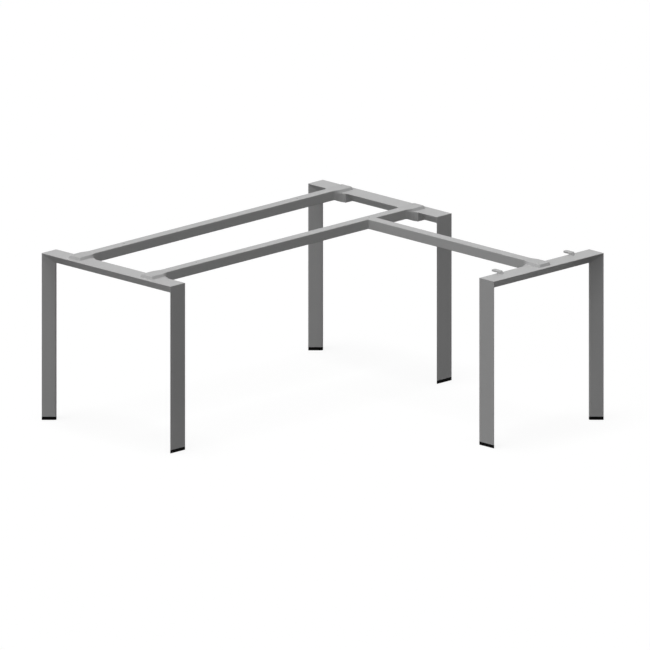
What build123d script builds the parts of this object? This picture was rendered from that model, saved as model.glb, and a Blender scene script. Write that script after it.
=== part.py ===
from build123d import *
import os
from math import atan2, degrees, sqrt

# Underframe of an L-shaped desk: three welded goal-post frames of triangular tube,
# tied together by rectangular beams that end in cast connectors.
# Millimetres, +Z up, origin on the floor in the middle of the footprint.
# The left and right frames stand along Y, the return frame along X at the front.

# Layout
underside_height = 718.5  # floor to the underside of the desk top
frame_pitch = 1540.0  # left frame to right frame, between tube centre lines
overall_depth = 1623.5  # rear leg faces to the outer side of the return frame
frame_depth = 745.0  # left and right frames, over the flat faces of their legs
return_width = 635.0  # return frame, over the flat faces of its legs
beam_inset = 164.0  # leg face to the centre line of the nearest main beam

# Triangular tube: a right-angled section with a wide flat face and a rounded apex
flat_width = 85.0  # over the two rounded acute corners
tube_wall = 2.0
corner_radius = 1.2
apex_radius = 8.0
bore_corner_radius = 0.5

# Moulded feet
foot_height = 14.2
foot_bevel = 1.2
plug_height = 32.0
plug_wall = 2.6
plug_clearance = 0.25
plug_corner_radius = 2.5
plug_lead = 0.8

# Beams
beam_width = 44.0
beam_height = 41.0
beam_wall = 2.0
beam_radius = 2.5
top_hole_radius = 3.25
top_hole_pitch = 1000.0

# Cast connectors: a drafted tongue on the rail, a saddle under it, a spigot in the beam
tongue_rise = 12.0
tongue_half = 35.5  # half the tongue's width on the rail
tongue_draft = 5.0  # how far its sides and nose lean in over the rise
tongue_margin = 19.0  # bare rail beyond the nose
tongue_corner = 9.0
edge_round = 2.0
neck_length = 37.5  # rail edge to beam end
neck_end = 8.0  # rail edge to where the neck is full width
saddle_half = 60.0
seat_margin = 0.4  # saddle's lower edge to where the apex rounding starts
flare_start = 26.5  # rail edge to where the saddle flares out of the neck
flare_end = 6.5  # rail edge to where the flare is full width and full depth
cheek_corner = 3.0
under_round = 2.0  # along the lower edges of the neck and the saddle
spigot_length = 66.0
spigot_clearance = 0.3
spigot_wall = 5.0
spigot_lead = 1.5

# Fasteners
screw_radius = 3.0
screw_clearance = 0.05
hole_clearance = 0.4
sunk_head_radius = 6.0
sunk_head_drop = 0.2  # below the tongue's top
tongue_screw_pitch = 32.0
tongue_screw_bite = 14.0
rivet_radius = 4.5
rivet_bulge_radius = 6.5
rivet_bulge_height = 4.0
rivet_length = 16.0
dome_head_radius = 5.2
dome_head_height = 3.3
hex_key = 4.0
hex_key_depth = 2.0
beam_screw_first = 20.0  # beam end to its nearer screw
beam_screw_pitch = 28.0

# Joint between the return beam and the front beam
tee_plug_length = 62.0
tee_bolt_radius = 4.0
tee_bolt_pitch = 18.0
tee_bolt_bite = 30.0
tee_head_across = 13.0
tee_head_height = 5.3

# Steel tabs that hold the desk top on the return rail
tab_half = 12.0  # half the tab's width
tab_front = 13.0  # rail's inner edge to the front of the tab's base
tab_back = 25.0  # rail's inner edge to the back of the tab's base
tab_reach = 26.0  # rail's inner edge to the tip
tab_thickness = 6.0  # of the finger beyond the rail
tab_tip_radius = 9.0
tab_corner = 5.0
tab_root_radius = 3.0
tab_hole_radius = 2.75
tab_hole_reach = 14.0
tab_pitch = 414.0
tab_offset = 5.0  # the pair's middle, from the return beam towards the left

# Worked out from the sizes above
corner_setback = corner_radius * sqrt(2)  # rounded edge to the sharp corner it replaces
sharp_width = flat_width + 2 * corner_setback
sharp_depth = sharp_width / 2
rail_top = underside_height - tongue_rise
beam_mid = tongue_rise - beam_height / 2  # above the rail top
beam_low = tongue_rise - beam_height
saddle_drop = sharp_depth - apex_radius / sqrt(2) - seat_margin
tongue_reach = flat_width - tongue_margin
tongue_lean = degrees(atan2(tongue_rise, tongue_draft))  # of its sides, from the rail
main_y = (overall_depth - frame_depth) / 2
main_beam_reach = frame_depth / 2 - beam_inset
rear_beam_y = main_y + main_beam_reach
front_beam_y = main_y - main_beam_reach
return_x = (frame_pitch + flat_width - return_width) / 2
return_y = (flat_width - overall_depth) / 2
main_beam_length = frame_pitch - flat_width - 2 * neck_length
return_beam_start = return_y + flat_width / 2 + neck_length
return_beam_end = front_beam_y - beam_width / 2
return_beam_length = return_beam_end - return_beam_start
bore_width = beam_width - 2 * beam_wall
bore_height = beam_height - 2 * beam_wall
bore_radius = beam_radius - beam_wall

# Places: frames, and connectors with their own x pointing over the rail
left_frame = Location((-frame_pitch / 2, main_y, 0), (0, 0, 90))
right_frame = Location((frame_pitch / 2, main_y, 0), (0, 0, 90))
return_frame = Location((return_x, return_y, 0))
rail_edge_x = (frame_pitch - flat_width) / 2
connector_places = {
    "left_rear": Location((-rail_edge_x, rear_beam_y, rail_top), (0, 0, 180)),
    "left_front": Location((-rail_edge_x, front_beam_y, rail_top), (0, 0, 180)),
    "right_rear": Location((rail_edge_x, rear_beam_y, rail_top)),
    "right_front": Location((rail_edge_x, front_beam_y, rail_top)),
    "return": Location((return_x, return_y + flat_width / 2, rail_top), (0, 0, -90)),
}

os.makedirs("parts", exist_ok=True)


def write_node(solid, name, place=Location()):
    node = solid.moved(place)
    node.label = name
    export_step(node, f"parts/{name}.step")


# Triangle of the tube drawn inside the open sketch: its flat face lies on the sketch's
# y axis, its apex points to -x, and every side is moved in by inset.
def triangle(inset, acute_radius, point_radius, mode=Mode.ADD):
    width = sharp_width - 2 * inset * (1 + sqrt(2))
    with BuildSketch(mode=Mode.PRIVATE) as outline:
        with BuildLine():
            Polyline((-inset, width / 2), (-inset, -width / 2), (-inset - width / 2, 0), close=True)
        make_face()
        fillet(outline.vertices().group_by(Axis.X)[-1], acute_radius)
        fillet(outline.vertices().group_by(Axis.X)[0], point_radius)
    add(outline.sketch, mode=mode)


def tube_section():
    triangle(0, corner_radius, apex_radius)
    triangle(tube_wall, bore_corner_radius, apex_radius - tube_wall, mode=Mode.SUBTRACT)


# Mitre plane at the +x or -x corner of a frame, facing the rail
def mitre_plane(length, side):
    return Plane((side * length / 2, 0, rail_top), x_dir=(0, 1, 0), z_dir=(-side, 0, 1))


# Leg at the +x end of a frame, flat face outwards, mitred at the top
def make_leg(length):
    with BuildPart() as leg:
        with BuildSketch(Plane((length / 2, 0, foot_height))):
            tube_section()
        extrude(amount=rail_top - foot_height)
        split(bisect_by=mitre_plane(length, 1), keep=Keep.BOTTOM)
    return leg.part


# Top rail of a frame, flat face up, mitred at both ends, pierced for the rivet nuts
def make_rail(length, beam_places):
    with BuildPart() as rail:
        with BuildSketch(Plane((-length / 2, 0, rail_top), x_dir=(0, 0, 1), z_dir=(1, 0, 0))):
            tube_section()
        extrude(amount=length)
        for side in (-1, 1):
            split(bisect_by=mitre_plane(length, side), keep=Keep.TOP)
        for beam_place in beam_places:
            with Locations((beam_place, 0, rail_top)):
                with GridLocations(tongue_screw_pitch, 0, 2, 1):
                    Hole(radius=rivet_radius + screw_clearance, depth=tube_wall)
    return rail.part


# Moulded foot under the leg at the +x end: a full-section pad and a hollow plug up the tube
def make_foot(length):
    with BuildPart() as foot:
        with BuildSketch(Plane((length / 2, 0, 0))):
            triangle(0, corner_radius, apex_radius)
        extrude(amount=foot_height)
        chamfer(foot.faces().sort_by(Axis.Z)[0].edges(), foot_bevel)
        plug_inset = tube_wall + plug_clearance
        plug_apex = apex_radius - plug_inset
        with BuildSketch(Plane((length / 2, 0, foot_height))):
            triangle(plug_inset, plug_corner_radius, plug_apex)
        extrude(amount=plug_height)
        chamfer(foot.faces().sort_by(Axis.Z)[-1].edges(), plug_lead)
        with BuildSketch(Plane((length / 2, 0, foot_height))):
            triangle(plug_inset + plug_wall, bore_corner_radius, max(plug_apex - plug_wall, bore_corner_radius))
        extrude(amount=plug_height, mode=Mode.SUBTRACT)
    return foot.part


def write_frame(name, place, length, beam_places, leg_names):
    leg = make_leg(length)
    foot = make_foot(length)
    turned = Location((0, 0, 0), (0, 0, 180))
    for leg_name, end in zip(leg_names, (Location(), turned)):
        write_node(leg, f"{leg_name}_leg", place * end)
        write_node(foot, f"{leg_name}_foot", place * end)
    write_node(make_rail(length, beam_places), f"{name}_top_rail", place)


main_beam_places = (-main_beam_reach, main_beam_reach)
write_frame("left", left_frame, frame_depth, main_beam_places, ("left_rear", "left_front"))
write_frame("right", right_frame, frame_depth, main_beam_places, ("right_rear", "right_front"))
write_frame("return", return_frame, return_width, (0,), ("return_outer", "return_inner"))


# Section of a beam inside the open sketch
def beam_section():
    RectangleRounded(beam_width, beam_height, beam_radius)
    RectangleRounded(bore_width, bore_height, bore_radius, mode=Mode.SUBTRACT)


# Distances along a beam, from its middle, of the screws under its two ends
def end_screws(length):
    first = length / 2 - beam_screw_first
    second = first - beam_screw_pitch
    return (-first, -second, second, first)


# Main beam along X about its own middle, with the screw holes under its ends
# and the holes that take the desk top's screws
with BuildPart() as rear_beam:
    with BuildSketch(Plane.YZ.offset(-main_beam_length / 2)):
        beam_section()
    extrude(amount=main_beam_length)
    with Locations(*[(x, 0, -beam_height / 2) for x in end_screws(main_beam_length)]):
        Cylinder(screw_radius + hole_clearance, 4 * beam_wall, mode=Mode.SUBTRACT)
    with GridLocations(top_hole_pitch, 0, 2, 1):
        Cylinder(top_hole_radius, 2 * beam_height, mode=Mode.SUBTRACT)
write_node(rear_beam.part, "rear_beam", Location((0, rear_beam_y, rail_top + beam_mid)))

# Front beam: the same, drilled across for the bolts of the return beam
tee_bolt_places = [(return_x, 0, -tee_bolt_pitch / 2), (return_x, 0, tee_bolt_pitch / 2)]
with BuildPart() as front_beam:
    add(rear_beam.part)
    with Locations(*[Location(p, (90, 0, 0)) for p in tee_bolt_places]):
        Cylinder(tee_bolt_radius + hole_clearance, 2 * beam_width, mode=Mode.SUBTRACT)
write_node(front_beam.part, "front_beam", Location((0, front_beam_y, rail_top + beam_mid)))

# Return beam along Y, from the return connector to the front beam's side
return_beam_place = Location((return_x, (return_beam_start + return_beam_end) / 2, rail_top + beam_mid))
with BuildPart() as return_beam:
    with BuildSketch(Plane.XZ.offset(-return_beam_length / 2)):
        beam_section()
    extrude(amount=return_beam_length)
    with Locations(*[(0, y, -beam_height / 2) for y in end_screws(return_beam_length)]):
        Cylinder(screw_radius + hole_clearance, 4 * beam_wall, mode=Mode.SUBTRACT)
write_node(return_beam.part, "return_beam", return_beam_place)

# Beam connector, with x = 0 at the rail's inner edge, x pointing over the rail and z = 0
# on the rail's top. Above the rail's top the neck grows from the beam's width to the tongue's.
with BuildPart() as neck:
    with BuildSketch(Plane.YZ.offset(-neck_length)):
        with Locations((0, tongue_rise / 2)):
            Rectangle(beam_width, tongue_rise)
    with BuildSketch(Plane.YZ.offset(-neck_end)):
        Trapezoid(2 * tongue_half, tongue_rise, tongue_lean, align=(Align.CENTER, Align.MIN))
    loft(ruled=True)

# Tongue on the rail: drafted sides and nose, rounded in plan
with BuildPart() as tongue:
    with BuildSketch(Plane.YZ.offset(-neck_end)):
        Trapezoid(2 * tongue_half, tongue_rise, tongue_lean, align=(Align.CENTER, Align.MIN))
    extrude(amount=neck_end + tongue_reach)
    nose = Plane((tongue_reach, 0, 0), x_dir=(0, 1, 0), z_dir=(tongue_rise, 0, tongue_draft))
    split(bisect_by=nose, keep=Keep.BOTTOM)
    fillet(tongue.edges().group_by(Axis.X)[-2], tongue_corner)

# Saddle below the rail's top: the beam's section widens, flares and drops in one sweep, and
# seats on the tube's slanted side
neck_slope = (tongue_half - beam_width / 2) / (neck_length - neck_end)
flare_half = beam_width / 2 + neck_slope * (neck_length - flare_start)
with BuildPart() as saddle:
    with BuildSketch(Plane.XY.offset(-saddle_drop)) as saddle_plan:
        with BuildLine():
            Line((-neck_length, 0), (-neck_length, beam_width / 2))
            neck_side = Line((-neck_length, beam_width / 2), (-flare_start, flare_half))
            flare = TangentArc(neck_side @ 1, (-flare_end, saddle_half), tangent=neck_side % 1)
            cheek = Line(flare @ 1, (saddle_drop, saddle_half))
            Line(cheek @ 1, (saddle_drop, 0))
            mirror(about=Plane.XZ)
        make_face()
        fillet(saddle_plan.vertices().group_by(Axis.X)[2], cheek_corner)
    extrude(amount=saddle_drop)
    with BuildSketch(Plane.XZ):
        with BuildLine():
            neck_floor = Line((-neck_length, beam_low), (-flare_start, beam_low))
            drop_middle = (-(flare_start + flare_end) / 2, (beam_low - saddle_drop) / 2)
            drop = TangentArc(neck_floor @ 1, drop_middle, tangent=neck_floor % 1)
            heel = TangentArc(drop @ 1, (-flare_end, -saddle_drop), tangent=drop % 1)
            Polyline(
                heel @ 1,
                (saddle_drop - corner_setback, -saddle_drop),
                (-corner_setback, 0),
                (-neck_length, 0),
                neck_floor @ 0,
            )
        make_face()
    extrude(amount=saddle_half, both=True, mode=Mode.INTERSECT)
    low_edges = saddle.edges().filter_by(lambda edge: edge.bounding_box().max.Z < beam_mid)
    side_edges = low_edges.filter_by(lambda edge: abs(edge.center().Y) > beam_width / 2)
    fillet(side_edges, under_round)

spigot_width = bore_width - 2 * spigot_clearance
spigot_height = bore_height - 2 * spigot_clearance
beam_end_screws = (beam_screw_first, beam_screw_first + beam_screw_pitch)
with BuildPart() as connector:
    add(neck.part)
    add(tongue.part)
    add(saddle.part)
    rim = connector.faces().sort_by(Axis.Z)[-1].edges().sort_by(Axis.X)[1:]
    fillet(rim, edge_round)
    with BuildSketch(Plane.YZ.offset(-neck_length)):
        with Locations((0, beam_mid)):
            Rectangle(spigot_width, spigot_height)
    extrude(amount=-spigot_length)
    chamfer(connector.faces().sort_by(Axis.X)[0].edges(), spigot_lead)
    with BuildSketch(Plane.YZ.offset(-neck_length - spigot_length)):
        with Locations((0, beam_mid)):
            Rectangle(spigot_width - 2 * spigot_wall, spigot_height - 2 * spigot_wall)
    extrude(amount=spigot_length, mode=Mode.SUBTRACT)
    with Locations((flat_width / 2, 0, tongue_rise)):
        with GridLocations(0, tongue_screw_pitch, 1, 2):
            CounterSinkHole(
                screw_radius + hole_clearance,
                sunk_head_radius + hole_clearance,
                depth=tongue_rise,
                counter_sink_angle=90,
            )
    with Locations(*[(-neck_length - d, 0, beam_low + beam_wall) for d in beam_end_screws]):
        Cylinder(screw_radius + screw_clearance, 2 * spigot_wall, mode=Mode.SUBTRACT)
for name, place in connector_places.items():
    write_node(connector.part, f"{name}_connector", place)

# Plug in the return beam's rear end, tapped for the two bolts through the front beam
with BuildPart() as tee_plug:
    with BuildSketch(Plane.XZ):
        Rectangle(spigot_width, spigot_height)
    extrude(amount=tee_plug_length)
    chamfer(tee_plug.faces().sort_by(Axis.Y)[0].edges(), spigot_lead)
    with Locations(*[Location((0, 0, z), (90, 0, 0)) for z in (-tee_bolt_pitch / 2, tee_bolt_pitch / 2)]):
        Cylinder(tee_bolt_radius + screw_clearance, 2 * tee_bolt_bite, mode=Mode.SUBTRACT)
    with Locations(*[(0, -d, -spigot_height / 2) for d in beam_end_screws]):
        Cylinder(screw_radius + screw_clearance, 2 * spigot_wall, mode=Mode.SUBTRACT)
write_node(tee_plug.part, "tee_plug", Location((return_x, return_beam_end, rail_top + beam_mid)))


# Hexagon recess for the key, cut into the open part from z = face
def key_recess(face, depth):
    with BuildSketch(Plane.XY.offset(face), mode=Mode.PRIVATE) as recess:
        RegularPolygon(hex_key / 2, 6, major_radius=False)
    extrude(recess.sketch, amount=depth, mode=Mode.SUBTRACT)


# Countersunk screw through the tongue, with z = 0 on the rail's top
with BuildPart() as tongue_screw:
    head_top = tongue_rise - sunk_head_drop
    head_low = head_top - (sunk_head_radius - screw_radius)
    with BuildSketch(Plane.XZ):
        with BuildLine():
            Polyline(
                (0, head_top),
                (sunk_head_radius, head_top),
                (screw_radius, head_low),
                (screw_radius, -tongue_screw_bite),
                (0, -tongue_screw_bite),
                close=True,
            )
        make_face()
    revolve(axis=Axis.Z)
    key_recess(head_top, -hex_key_depth)

# Flush rivet nut in the rail's top wall, swelled out under the wall
with BuildPart() as rivet_nut:
    with BuildSketch(Plane.XZ):
        with BuildLine():
            Polyline(
                (screw_radius + screw_clearance, 0),
                (rivet_radius, 0),
                (rivet_radius, -tube_wall),
                (rivet_bulge_radius, -tube_wall),
                (rivet_bulge_radius, -tube_wall - rivet_bulge_height / 2),
                (rivet_radius, -tube_wall - rivet_bulge_height),
                (rivet_radius, -rivet_length),
                (screw_radius + screw_clearance, -rivet_length),
                close=True,
            )
        make_face()
    revolve(axis=Axis.Z)

tongue_screw_places = [
    place * Location((flat_width / 2, side * tongue_screw_pitch / 2, 0))
    for place in connector_places.values()
    for side in (-1, 1)
]
with BuildPart() as tongue_screws:
    with Locations(*tongue_screw_places):
        add(tongue_screw.part)
write_node(tongue_screws.part, "tongue_screws")
with BuildPart() as rivet_nuts:
    with Locations(*tongue_screw_places):
        add(rivet_nut.part)
write_node(rivet_nuts.part, "rivet_nuts")

# Button-head screw with its head at z < 0 against a beam's lower wall
with BuildPart() as beam_screw:
    with BuildSketch(Plane.XZ):
        with BuildLine():
            dome = TangentArc((0, -dome_head_height), (dome_head_radius, 0), tangent=(1, 0))
            Polyline(
                dome @ 1,
                (screw_radius, 0),
                (screw_radius, beam_wall + spigot_wall),
                (0, beam_wall + spigot_wall),
                dome @ 0,
            )
        make_face()
    revolve(axis=Axis.Z)
    key_recess(-dome_head_height, hex_key_depth)

beam_screw_places = [
    place * Location((-neck_length - d, 0, beam_low))
    for place in connector_places.values()
    for d in beam_end_screws
]
beam_screw_places += [Location((return_x, return_beam_end - d, rail_top + beam_low)) for d in beam_end_screws]
with BuildPart() as beam_screws:
    with Locations(*beam_screw_places):
        add(beam_screw.part)
write_node(beam_screws.part, "beam_screws")

# Hexagon bolts through the front beam into the plug, heads on the beam's rear side
with BuildPart() as tee_bolt:
    with BuildSketch(Plane.XZ):
        RegularPolygon(tee_head_across / 2, 6, major_radius=False)
    extrude(amount=-tee_head_height)
    with BuildSketch(Plane.XZ):
        Circle(tee_bolt_radius)
    extrude(amount=beam_width + tee_bolt_bite)
with BuildPart() as tee_bolts:
    with Locations((return_x, front_beam_y + beam_width / 2, rail_top + beam_mid)):
        with Locations((0, 0, -tee_bolt_pitch / 2), (0, 0, tee_bolt_pitch / 2)):
            add(tee_bolt.part)
write_node(tee_bolts.part, "tee_bolts")

# Tab welded on the return rail, with x = 0 at the rail's inner edge, x pointing over the rail
# and z = 0 on the rail's top: a base with a leaning back and a finger that reaches in past the rail
with BuildPart() as tab:
    with BuildSketch(Plane.XZ):
        with BuildLine():
            Polyline(
                (-tab_reach, tongue_rise),
                (-tab_reach, tongue_rise - tab_thickness),
                (tab_front, tongue_rise - tab_thickness),
                (tab_front, 0),
                (tab_back, 0),
                (tab_back - tongue_draft, tongue_rise),
                close=True,
            )
        make_face()
    extrude(amount=tab_half, both=True)
    fillet(tab.edges().group_by(Axis.X)[-2], tab_corner)
    fillet(tab.edges().filter_by(Axis.Z).group_by(Axis.X)[0], tab_tip_radius)
    root = Vector(tab_front, 0, tongue_rise - tab_thickness)
    fillet(tab.edges().sort_by_distance(root)[0], tab_root_radius)
    with Locations((-tab_hole_reach, 0, tongue_rise)):
        Hole(radius=tab_hole_radius, depth=tab_thickness)
for name, side in (("return_inner", -1), ("return_outer", 1)):
    tab_x = return_x - tab_offset + side * tab_pitch / 2
    write_node(tab.part, f"{name}_tab", Location((tab_x, return_y + flat_width / 2, rail_top), (0, 0, -90)))
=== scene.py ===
import math

import bpy
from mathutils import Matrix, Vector


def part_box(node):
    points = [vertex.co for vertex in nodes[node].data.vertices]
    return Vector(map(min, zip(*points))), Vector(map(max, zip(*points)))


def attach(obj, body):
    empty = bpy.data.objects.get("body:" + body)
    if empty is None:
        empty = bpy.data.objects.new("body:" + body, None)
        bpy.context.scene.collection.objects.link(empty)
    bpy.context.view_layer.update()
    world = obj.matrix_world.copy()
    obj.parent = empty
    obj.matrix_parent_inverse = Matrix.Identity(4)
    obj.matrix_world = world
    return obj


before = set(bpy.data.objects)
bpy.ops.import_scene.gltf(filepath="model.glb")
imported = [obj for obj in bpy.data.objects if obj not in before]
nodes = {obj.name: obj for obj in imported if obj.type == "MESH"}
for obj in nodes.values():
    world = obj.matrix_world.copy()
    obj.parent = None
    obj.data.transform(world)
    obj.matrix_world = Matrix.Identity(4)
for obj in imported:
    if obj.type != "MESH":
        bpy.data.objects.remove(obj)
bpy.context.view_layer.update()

print("desk frame: loaded", len(nodes), "CAD nodes")


def hexToLinear(hexCode):  # sRGB hex to the linear colour that sockets take
    parts = [int(hexCode[i:i + 2], 16) / 255 for i in (1, 3, 5)]
    return [c / 12.92 if c <= 0.04045 else ((c + 0.055) / 1.055) ** 2.4 for c in parts] + [1.0]


def addNode(tree, kind, inputs=None, **settings):  # one node with its settings, values and links
    node = tree.nodes.new(kind)
    for name, value in settings.items():
        setattr(node, name, value)
    for socket, value in (inputs or {}).items():
        if isinstance(value, bpy.types.NodeSocket):
            tree.links.new(value, node.inputs[socket])
        else:
            node.inputs[socket].default_value = value
    return node


def newMaterial(name):
    material = bpy.data.materials.new(name)
    material.use_nodes = True
    material.node_tree.nodes.clear()
    return material, material.node_tree


# Polyester powder coat: satin silver grey, with the soft orange peel that the melted powder
# leaves and a faint metallic flake. It lies thin and even on the drawn tubes and a little
# thicker and rounder on the castings, whose skin shows through it.
tubeCoat = {
    "colour": "#bebebe",
    "cloudColour": "#b8b8b8",
    "cloudWidth": 0.35,  # the coat's thickness drifts over about a third of a metre
    "cloudDetail": 3.0,
    "roughness": 0.5,
    "roughnessSpread": 0.05,
    "specular": 0.15,
    "peelWidth": 0.004,  # real peel is about 2 mm, drawn twice as wide so that it shows
    "peelDepth": 0.00007,
    "peelDetail": 1.0,
    "peelStrength": 0.9,
    "flakeWidth": 0.0012,  # real flake is under 0.1 mm, drawn coarse so that it shows
    "flakeContrast": 0.035,
}
castCoat = {
    **tubeCoat,
    "colour": "#bdbdbd",
    "cloudColour": "#b5b5b5",
    "cloudWidth": 0.09,
    "roughness": 0.54,
    "peelWidth": 0.0065,  # the cast skin's pits are about 3 mm, drawn twice as wide so that they show
    "peelDepth": 0.00014,
}


def makePowderCoat(name, coat):
    material, tree = newMaterial(name)
    where = addNode(tree, "ShaderNodeTexCoord").outputs["Object"]
    cloud = addNode(tree, "ShaderNodeTexNoise", {
        "Vector": where, "Scale": 1 / coat["cloudWidth"], "Detail": coat["cloudDetail"],
    })
    peel = addNode(tree, "ShaderNodeTexNoise", {
        "Vector": where, "Scale": 1 / coat["peelWidth"], "Detail": coat["peelDetail"],
    })
    flake = addNode(tree, "ShaderNodeTexVoronoi", {"Vector": where, "Scale": 1 / coat["flakeWidth"]})
    tone = addNode(tree, "ShaderNodeMix", {
        "Factor": cloud.outputs["Fac"],
        "A": hexToLinear(coat["cloudColour"]),
        "B": hexToLinear(coat["colour"]),
    }, data_type="RGBA")
    sparkle = addNode(tree, "ShaderNodeMapRange", {
        "Value": flake.outputs["Color"],
        "To Min": 1 - coat["flakeContrast"],
        "To Max": 1 + coat["flakeContrast"],
    })
    base = addNode(tree, "ShaderNodeVectorMath", {
        0: tone.outputs["Result"], 1: sparkle.outputs["Result"],
    }, operation="MULTIPLY")
    rough = addNode(tree, "ShaderNodeMapRange", {
        "Value": peel.outputs["Fac"],
        "To Min": coat["roughness"] - coat["roughnessSpread"],
        "To Max": coat["roughness"] + coat["roughnessSpread"],
    })
    bump = addNode(tree, "ShaderNodeBump", {
        "Height": peel.outputs["Fac"], "Distance": coat["peelDepth"], "Strength": coat["peelStrength"],
    })
    shader = addNode(tree, "ShaderNodeBsdfPrincipled", {
        "Base Color": base.outputs["Vector"],
        "Roughness": rough.outputs["Result"],
        "Normal": bump.outputs["Normal"],
        "Specular IOR Level": coat["specular"],
    })
    addNode(tree, "ShaderNodeOutputMaterial", {"Surface": shader.outputs["BSDF"]})
    return material


# Moulded black nylon: deep black and dull, with the fine grain of a spark-eroded mould
nylon = {
    "colour": "#020202",
    "scuffColour": "#080808",
    "scuffWidth": 0.02,
    "scuffDetail": 4.0,
    "roughness": 0.66,
    "roughnessSpread": 0.1,
    "specular": 0.05,
    "grainWidth": 0.0016,  # real grain is about 0.3 mm, drawn coarser so that it shows
    "grainDepth": 0.00006,
    "grainDetail": 2.0,
    "grainStrength": 0.8,
}


def makeBlackNylon(name):
    material, tree = newMaterial(name)
    where = addNode(tree, "ShaderNodeTexCoord").outputs["Object"]
    grain = addNode(tree, "ShaderNodeTexNoise", {
        "Vector": where, "Scale": 1 / nylon["grainWidth"], "Detail": nylon["grainDetail"],
    })
    scuff = addNode(tree, "ShaderNodeTexNoise", {
        "Vector": where, "Scale": 1 / nylon["scuffWidth"], "Detail": nylon["scuffDetail"],
    })
    tone = addNode(tree, "ShaderNodeMix", {
        "Factor": scuff.outputs["Fac"],
        "A": hexToLinear(nylon["colour"]),
        "B": hexToLinear(nylon["scuffColour"]),
    }, data_type="RGBA")
    rough = addNode(tree, "ShaderNodeMapRange", {
        "Value": grain.outputs["Fac"],
        "To Min": nylon["roughness"] - nylon["roughnessSpread"],
        "To Max": nylon["roughness"] + nylon["roughnessSpread"],
    })
    bump = addNode(tree, "ShaderNodeBump", {
        "Height": grain.outputs["Fac"],
        "Distance": nylon["grainDepth"],
        "Strength": nylon["grainStrength"],
    })
    shader = addNode(tree, "ShaderNodeBsdfPrincipled", {
        "Base Color": tone.outputs["Result"],
        "Roughness": rough.outputs["Result"],
        "Normal": bump.outputs["Normal"],
        "Specular IOR Level": nylon["specular"],
    })
    addNode(tree, "ShaderNodeOutputMaterial", {"Surface": shader.outputs["BSDF"]})
    return material


# Bright zinc plate on steel: pale blue-grey metal with a soft streaky crystal bloom
zinc = {
    "colour": "#c3c6c9",
    "smoothest": 0.26,
    "roughest": 0.46,
    "bloomWidth": 0.003,  # real bloom is about 1 mm, drawn coarser so that it shows
    "bloomDetail": 3.0,
}


def makeZincPlate(name):
    material, tree = newMaterial(name)
    where = addNode(tree, "ShaderNodeTexCoord").outputs["Object"]
    bloom = addNode(tree, "ShaderNodeTexNoise", {
        "Vector": where, "Scale": 1 / zinc["bloomWidth"], "Detail": zinc["bloomDetail"],
    })
    rough = addNode(tree, "ShaderNodeMapRange", {
        "Value": bloom.outputs["Fac"], "To Min": zinc["smoothest"], "To Max": zinc["roughest"],
    })
    shader = addNode(tree, "ShaderNodeBsdfPrincipled", {
        "Base Color": hexToLinear(zinc["colour"]), "Metallic": 1.0, "Roughness": rough.outputs["Result"],
    })
    addNode(tree, "ShaderNodeOutputMaterial", {"Surface": shader.outputs["BSDF"]})
    return material


# Extruded aluminium, not coated: pale metal with fine die lines along the plug
dieLines = {
    "colour": "#b9babc",
    "roughness": 0.4,
    "roughnessSpread": 0.1,
    "lineWidth": 0.0008,  # real lines are about 0.1 mm, drawn coarser so that they show
    "lineDepth": 0.00002,
    "lineDetail": 2.0,
    "lineStrength": 0.7,
    "stretch": 0.02,  # a line's width against its length
}


def makeExtrudedAluminium(name):
    material, tree = newMaterial(name)
    where = addNode(tree, "ShaderNodeTexCoord").outputs["Object"]
    along = addNode(tree, "ShaderNodeMapping", {
        "Vector": where, "Scale": (1.0, dieLines["stretch"], 1.0),
    })
    lines = addNode(tree, "ShaderNodeTexNoise", {
        "Vector": along.outputs["Vector"],
        "Scale": 1 / dieLines["lineWidth"],
        "Detail": dieLines["lineDetail"],
    })
    rough = addNode(tree, "ShaderNodeMapRange", {
        "Value": lines.outputs["Fac"],
        "To Min": dieLines["roughness"] - dieLines["roughnessSpread"],
        "To Max": dieLines["roughness"] + dieLines["roughnessSpread"],
    })
    bump = addNode(tree, "ShaderNodeBump", {
        "Height": lines.outputs["Fac"],
        "Distance": dieLines["lineDepth"],
        "Strength": dieLines["lineStrength"],
    })
    shader = addNode(tree, "ShaderNodeBsdfPrincipled", {
        "Base Color": hexToLinear(dieLines["colour"]),
        "Metallic": 1.0,
        "Roughness": rough.outputs["Result"],
        "Normal": bump.outputs["Normal"],
    })
    addNode(tree, "ShaderNodeOutputMaterial", {"Surface": shader.outputs["BSDF"]})
    return material


tubePaint = makePowderCoat("silverGreyPowderCoat", tubeCoat)
castPaint = makePowderCoat("powderCoatedDieCast", castCoat)
blackNylon = makeBlackNylon("mouldedBlackNylon")
zincPlate = makeZincPlate("brightZincPlate")
bareAluminium = makeExtrudedAluminium("extrudedAluminium")


def finishOf(name):
    if name.endswith("_foot"):
        return blackNylon
    if name.endswith("_connector") or name == "tongue_screws":
        return castPaint  # the tongue screws are coated with the castings
    if name == "tee_plug":
        return bareAluminium
    if name in ("rivet_nuts", "beam_screws", "tee_bolts"):
        return zincPlate
    return tubePaint


for name, node in nodes.items():
    node.data.materials.clear()
    node.data.materials.append(finishOf(name))
print("desk frame: finishes on")


# Weld beads: laid along the inner side of every mitre and round the tabs, then coated over
weld = {
    "mitreRadius": 0.0032,
    "tabRadius": 0.002,
    "sink": 0.0014,  # how deep the bead's core lies under the seam
    "ripple": 0.0032,  # one pause of the torch to the next
    "swell": 1.1,  # a ripple's crest against its trough
    "endShare": 0.4,  # the bead's tapered ends against its full size
    "sides": 12,
    "bareEnd": 0.004,  # seam left bare at the tube's edges
    "bendSteps": 8,
    "leastTurn": 0.0001,  # a smaller turn of the seam is left out
}
tube = {"edgeRound": 0.0012, "apexRound": 0.008}  # the triangular tube's outer rounds


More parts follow.
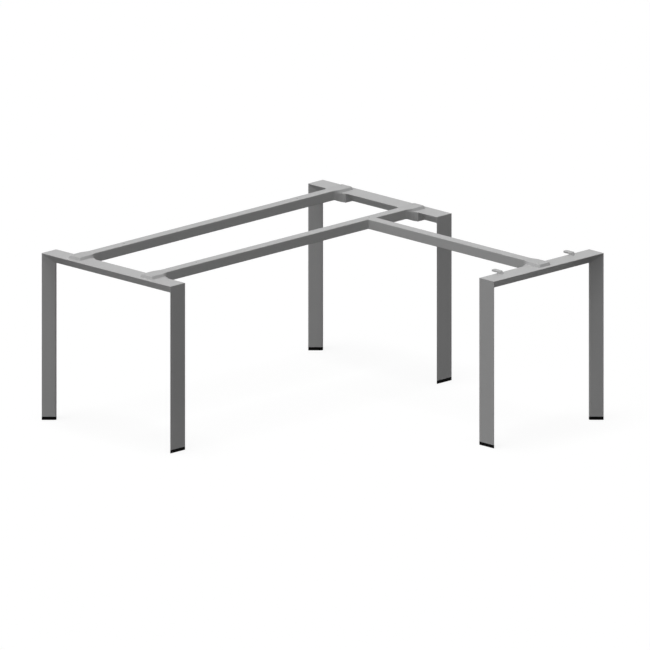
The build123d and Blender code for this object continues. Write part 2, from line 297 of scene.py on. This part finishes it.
def evenPoints(corners, spacing):  # points at even steps along a chain of corners
    points = []
    left = 0.0
    for a, b in zip(corners, corners[1:]):
        length = (b - a).length
        while left <= length:
            points.append(a.lerp(b, left / length))
            left += spacing
        left -= length
    return points


def layBead(name, corners, radius):  # a ring is drawn along the seam, swelling at each ripple
    points = evenPoints(corners, weld["ripple"] / 2)
    steps = [b - a for a, b in zip(points, points[1:])]
    headings = [math.atan2(s.y, s.x) for s in steps]
    headings.append(headings[-1])
    sizes = [weld["swell"] if i % 2 else 1.0 for i in range(len(points))]
    sizes[0] = sizes[-1] = weld["endShare"]
    bpy.ops.object.select_all(action="DESELECT")
    bpy.ops.mesh.primitive_circle_add(
        vertices=weld["sides"], radius=radius * sizes[0], fill_type="NGON",
        location=points[0], rotation=(math.pi / 2, 0, headings[0] + math.pi / 2),
    )
    bead = bpy.context.object
    bead.name = name
    bpy.ops.object.transform_apply(location=True, rotation=True, scale=True)
    bpy.ops.object.mode_set(mode="EDIT")
    bpy.ops.mesh.select_all(action="SELECT")
    for i, step in enumerate(steps):
        bpy.ops.mesh.extrude_region_move(TRANSFORM_OT_translate={"value": step})
        centre = points[i + 1]
        grow = sizes[i + 1] / sizes[i]
        bpy.ops.transform.resize(value=(grow, grow, grow), center_override=centre)
        turn = headings[i + 1] - headings[i]
        turn = math.atan2(math.sin(turn), math.cos(turn))
        if abs(turn) > weld["leastTurn"]:
            # with no window the operator turns the other way
            bpy.ops.transform.rotate(value=-turn, orient_axis="Z", center_override=centre)
    bpy.ops.mesh.select_all(action="SELECT")
    bpy.ops.mesh.normals_make_consistent(inside=False)
    bpy.ops.object.mode_set(mode="OBJECT")
    bpy.ops.object.shade_smooth()
    return bead


def copyBead(bead, name, place, turn, lean):  # own mesh, turned and set in its place
    bpy.ops.object.select_all(action="DESELECT")
    bead.select_set(True)
    bpy.context.view_layer.objects.active = bead
    bpy.ops.object.duplicate()
    copy = bpy.context.object
    copy.name = name
    copy.rotation_euler = (lean, 0, turn)
    copy.location = place
    bpy.ops.object.transform_apply(location=True, rotation=True, scale=True)
    copy.data.materials.append(tubePaint)
    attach(copy, "root")


def mitreSeam():  # half round the tube on the slanting mitre, as across and down the slope
    low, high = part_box("left_rear_leg")
    slope = math.sqrt(2)  # the mitre and the tube's sides both lie at 45 degrees
    half = (high[0] - low[0]) / 2 + tube["edgeRound"] * slope
    bend = tube["apexRound"] - weld["sink"]
    centre = half - tube["apexRound"] * slope
    start = weld["bareEnd"]
    seam = [Vector((half - weld["sink"] * slope - start, -start * slope, 0))]
    for i in range(weld["bendSteps"] + 1):  # a quarter turn round the apex
        angle = math.radians(45 - 90 * i / weld["bendSteps"])
        seam.append(Vector((bend * math.sin(angle), -(centre + bend * math.cos(angle)) * slope, 0)))
    seam.append(Vector((-seam[0].x, seam[0].y, 0)))
    return seam


mitreBead = layBead("mitreBead", mitreSeam(), weld["mitreRadius"])
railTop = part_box("left_top_rail")[1][2]
for legName in ("left_rear", "left_front", "right_rear", "right_front", "return_outer", "return_inner"):
    low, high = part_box(legName + "_leg")
    middle = [(a + b) / 2 for a, b in zip(low, high)]
    if legName.endswith("rear"):
        corner, turn = (middle[0], high[1], railTop), 0.0
    elif legName.endswith("front"):
        corner, turn = (middle[0], low[1], railTop), math.pi
    elif legName.endswith("outer"):
        corner, turn = (high[0], middle[1], railTop), -math.pi / 2
    else:
        corner, turn = (low[0], middle[1], railTop), math.pi / 2
    copyBead(mitreBead, legName + "_mitre_bead", corner, turn, math.pi / 4)
bpy.data.objects.remove(mitreBead)
print("desk frame: mitre beads laid")

tabWeld = {
    "cornerRound": 0.005,
    "baseFront": 0.013,  # from the rail's inner edge back to where the tab's foot begins
    "outset": 0.0002,
}


def tabSeam():  # round the two sides and the back of a tab's foot on the rail, from its middle
    low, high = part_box("return_inner_tab")
    half = (high[0] - low[0]) / 2 + tabWeld["outset"]
    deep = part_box("return_top_rail")[1][1] - low[1] + tabWeld["outset"]
    bend = tabWeld["cornerRound"]
    front = -tabWeld["baseFront"]
    seam = [Vector((-half, front, 0))]
    for side, first in ((-1, 180), (1, 270)):  # a quarter turn round each back corner
        for i in range(weld["bendSteps"] + 1):
            angle = math.radians(first + 90 * i / weld["bendSteps"])
            across = side * (half - bend) + bend * math.cos(angle)
            seam.append(Vector((across, bend - deep + bend * math.sin(angle), 0)))
    seam.append(Vector((half, front, 0)))
    return seam


tabBead = layBead("tabBead", tabSeam(), weld["tabRadius"])
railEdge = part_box("return_top_rail")[1][1]
for tabName in ("return_inner_tab", "return_outer_tab"):
    low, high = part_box(tabName)
    copyBead(tabBead, tabName + "_bead", ((low[0] + high[0]) / 2, railEdge, railTop), 0.0, 0.0)
bpy.data.objects.remove(tabBead)
print("desk frame: tab beads laid")


def seenRay(tree):  # 1 for rays that show the background: straight, mirrored or through glass
    path = addNode(tree, "ShaderNodeLightPath").outputs
    seen = path["Is Camera Ray"]
    for other in ("Is Glossy Ray", "Is Transmission Ray"):
        seen = addNode(tree, "ShaderNodeMath", {0: seen, 1: path[other]}, operation="MAXIMUM").outputs[0]
    return seen


# Floor: white to the camera with the frame's soft shadow, dark to the light it bounces, and
# open from below
floorSettings = {
    "size": 40.0,
    "level": -0.0001,  # just under the feet
    "bounce": 0.04,
    "shade": 0.145,
    "glow": 0.876,
}
bpy.ops.object.select_all(action="DESELECT")
bpy.ops.mesh.primitive_plane_add(size=floorSettings["size"], location=(0, 0, floorSettings["level"]))
floor = bpy.context.object
floor.name = "floor"
floorMaterial, floorTree = newMaterial("paleFloor")
floorSeen = seenRay(floorTree)
glow = addNode(floorTree, "ShaderNodeMath", {0: floorSeen, 1: floorSettings["glow"]}, operation="MULTIPLY")
paint = addNode(floorTree, "ShaderNodeMapRange", {
    "Value": floorSeen, "To Min": floorSettings["bounce"], "To Max": floorSettings["shade"],
})
matt = addNode(floorTree, "ShaderNodeBsdfDiffuse", {"Color": paint.outputs[0]})
white = addNode(floorTree, "ShaderNodeEmission", {"Strength": glow.outputs[0]})
both = addNode(floorTree, "ShaderNodeAddShader", {0: matt.outputs[0], 1: white.outputs[0]})
underside = addNode(floorTree, "ShaderNodeNewGeometry").outputs["Backfacing"]
clear = addNode(floorTree, "ShaderNodeBsdfTransparent")
oneSided = addNode(floorTree, "ShaderNodeMixShader", {
    0: underside, 1: both.outputs[0], 2: clear.outputs[0],
})
addNode(floorTree, "ShaderNodeOutputMaterial", {"Surface": oneSided.outputs[0]})
floor.data.materials.append(floorMaterial)

# Studio light: soft lights from overhead and from the left that cast shadows, weak fills round
# the frame that cast none, and an even sky
lightSettings = {
    "overhead": {"towards": (0.1, -0.03, -1.0), "strength": 2.01, "softness": 30.0, "shadow": True},
    "leftFill": {"towards": (1.0, 0.0, -0.3), "strength": 0.735, "softness": 45.0, "shadow": True},
    "frontFill": {"towards": (0.0, 1.0, -0.4), "strength": 0.315, "softness": 30.0, "shadow": False},
    "leftRearFill": {"towards": (0.7, -0.7, -0.3), "strength": 0.335, "softness": 30.0, "shadow": False},
    "rightFrontFill": {"towards": (-0.7, 0.7, -0.3), "strength": 0.13, "softness": 30.0, "shadow": False},
    "backFill": {"towards": (-0.7, -0.7, 0.1), "strength": 0.75, "softness": 30.0, "shadow": False},
}
glossLight = "overhead"  # the one lamp that shows in the coat's gloss
for lampName, setting in lightSettings.items():
    lamp = bpy.data.lights.new(lampName, "SUN")
    lamp.energy = setting["strength"]
    lamp.angle = math.radians(setting["softness"])
    lamp.use_shadow = setting["shadow"]
    lampObject = bpy.data.objects.new(lampName, lamp)
    lampObject.visible_glossy = lampName == glossLight
    lampObject.rotation_euler = Vector(setting["towards"]).to_track_quat("-Z", "Y").to_euler()
    bpy.context.scene.collection.objects.link(lampObject)

skySettings = {"colour": "#ffffff", "lit": 0.08, "seen": 1.0}
world = bpy.context.scene.world or bpy.data.worlds.new("studio")
bpy.context.scene.world = world
world.use_nodes = True
worldTree = world.node_tree
worldTree.nodes.clear()
skyStrength = addNode(worldTree, "ShaderNodeMapRange", {
    "Value": seenRay(worldTree), "To Min": skySettings["lit"], "To Max": skySettings["seen"],
})
sky = addNode(worldTree, "ShaderNodeBackground", {
    "Color": hexToLinear(skySettings["colour"]), "Strength": skyStrength.outputs[0],
})
addNode(worldTree, "ShaderNodeOutputWorld", {"Surface": sky.outputs[0]})
print("desk frame: floor and light set")

# Camera: the photograph is a parallel projection from the front left
cameraSettings = {
    "azimuth": -45.0,
    "elevation": 15.13,
    "width": 2.6558,
    "aimRight": 0.00944,
    "aimUp": 0.3879,
    "distance": 6.0,
    "clipEnd": 60.0,
}
turn = math.radians(cameraSettings["azimuth"])
rise = math.radians(cameraSettings["elevation"])
back = Vector((math.sin(turn) * math.cos(rise), -math.cos(turn) * math.cos(rise), math.sin(rise)))
right = Vector((math.cos(turn), math.sin(turn), 0))
up = back.cross(right)
cameraData = bpy.data.cameras.new("camera")
cameraData.type = "ORTHO"
cameraData.ortho_scale = cameraSettings["width"]
cameraData.clip_end = cameraSettings["clipEnd"]
camera = bpy.data.objects.new("camera", cameraData)
camera.location = (
    right * cameraSettings["aimRight"] + up * cameraSettings["aimUp"] + back * cameraSettings["distance"]
)
camera.rotation_euler = (-back).to_track_quat("-Z", "Y").to_euler()
bpy.context.scene.collection.objects.link(camera)
bpy.context.scene.camera = camera
bpy.context.scene.view_settings.view_transform = "Standard"
print("desk frame: camera set")
